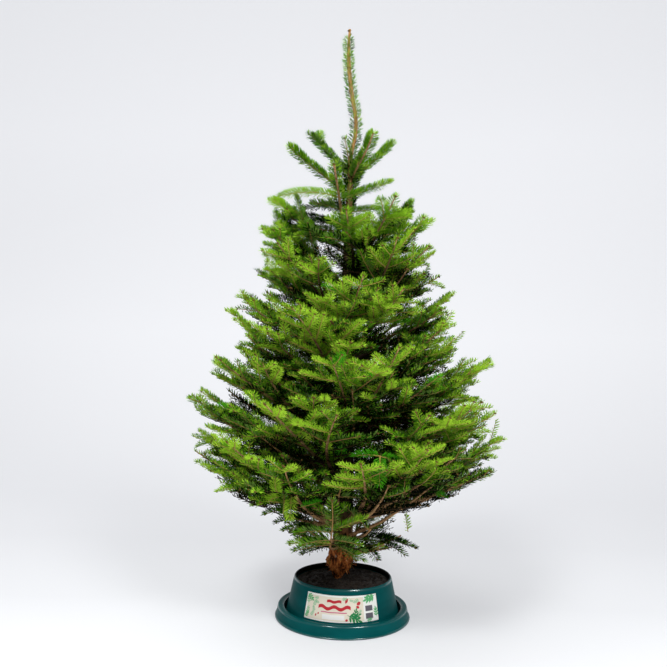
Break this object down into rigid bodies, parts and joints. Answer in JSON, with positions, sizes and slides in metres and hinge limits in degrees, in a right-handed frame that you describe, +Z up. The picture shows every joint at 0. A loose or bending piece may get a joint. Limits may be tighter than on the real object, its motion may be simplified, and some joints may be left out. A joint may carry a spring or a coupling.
{
  "type": "cut fir christmas tree in a round stand",
  "caption": "Cut fir Christmas tree with upswept boughs and a long bare leader, standing in a round green plastic stand filled with dark soil.",
  "frame": {"origin": "centre of the stand's flat underside, on the surface it stands on", "axes": "+Z up along the trunk, -Y the front that carries the stand's label, +X to the right seen from the front"},
  "size_m": [0.9358, 0.9051, 1.8],
  "materials": {
    "needles": "fir needles, mid green with paler undersides",
    "top_needles": "fir needles, bright yellow green",
    "bark": "red brown bark, torn at the foot, tan on young shoots",
    "stand_plastic": "dark blue green moulded plastic with a soft sheen",
    "soil": "dark crumbly potting soil"
  },
  "bodies": {
    "root": {"bough_skirt_1": "bark", "bough_skirt_2": "bark", "bough_skirt_3": "bark", "bough_skirt_4": "bark", "bough_tier_1_1": "bark", "bough_tier_1_2": "bark", "bough_tier_1_3": "bark", "bough_tier_1_4": "bark", "bough_tier_1_5": "bark", "bough_tier_1_6": "bark", "foliage_leader": "top_needles", "foliage_skirt_1": "needles", "foliage_skirt_2": "needles", "foliage_skirt_3": "needles", "foliage_skirt_4": "needles", "foliage_tier_1_1": "needles", "foliage_tier_1_2": "needles", "foliage_tier_1_3": "needles", "foliage_tier_1_4": "needles", "foliage_tier_1_5": "needles", "foliage_tier_1_6": "needles", "foliage_tier_2_1": "needles", "foliage_tier_2_2": "needles", "foliage_tier_2_3": "needles", "foliage_tier_2_4": "needles", "foliage_tier_2_5": "needles", "foliage_tier_3_1": "needles", "foliage_tier_3_2": "needles", "foliage_tier_3_3": "needles", "foliage_tier_3_4": "needles", "foliage_tier_3_5": "needles", "foliage_tier_4_1": "needles", "foliage_tier_4_2": "needles", "foliage_tier_4_3": "needles", "foliage_tier_4_4": "needles", "foliage_tier_4_5": "needles", "foliage_tier_5_1": "needles", "foliage_tier_5_2": "needles", "foliage_tier_5_3": "needles", "foliage_tier_5_4": "needles", "foliage_tier_6_1": "needles", "foliage_tier_6_2": "needles", "foliage_tier_6_3": "needles", "foliage_tier_6_4": "needles", "foliage_tier_7_1": "needles", "foliage_tier_7_2": "needles", "foliage_tier_7_3": "needles", "foliage_upper_bough_back": "top_needles", "foliage_upper_bough_front": "top_needles", "foliage_upper_bough_left": "top_needles", "foliage_upper_bough_right": "top_needles", "foliage_whorl_spray_back": "top_needles", "foliage_whorl_spray_back_left": "top_needles", "foliage_whorl_spray_front": "top_needles", "foliage_whorl_spray_left": "top_needles", "foliage_whorl_spray_right": "top_needles", "soil": "soil", "stand_base": "stand_plastic", "stand_pot": "stand_plastic", "trunk": "bark"}
  },
  "joints": []
}
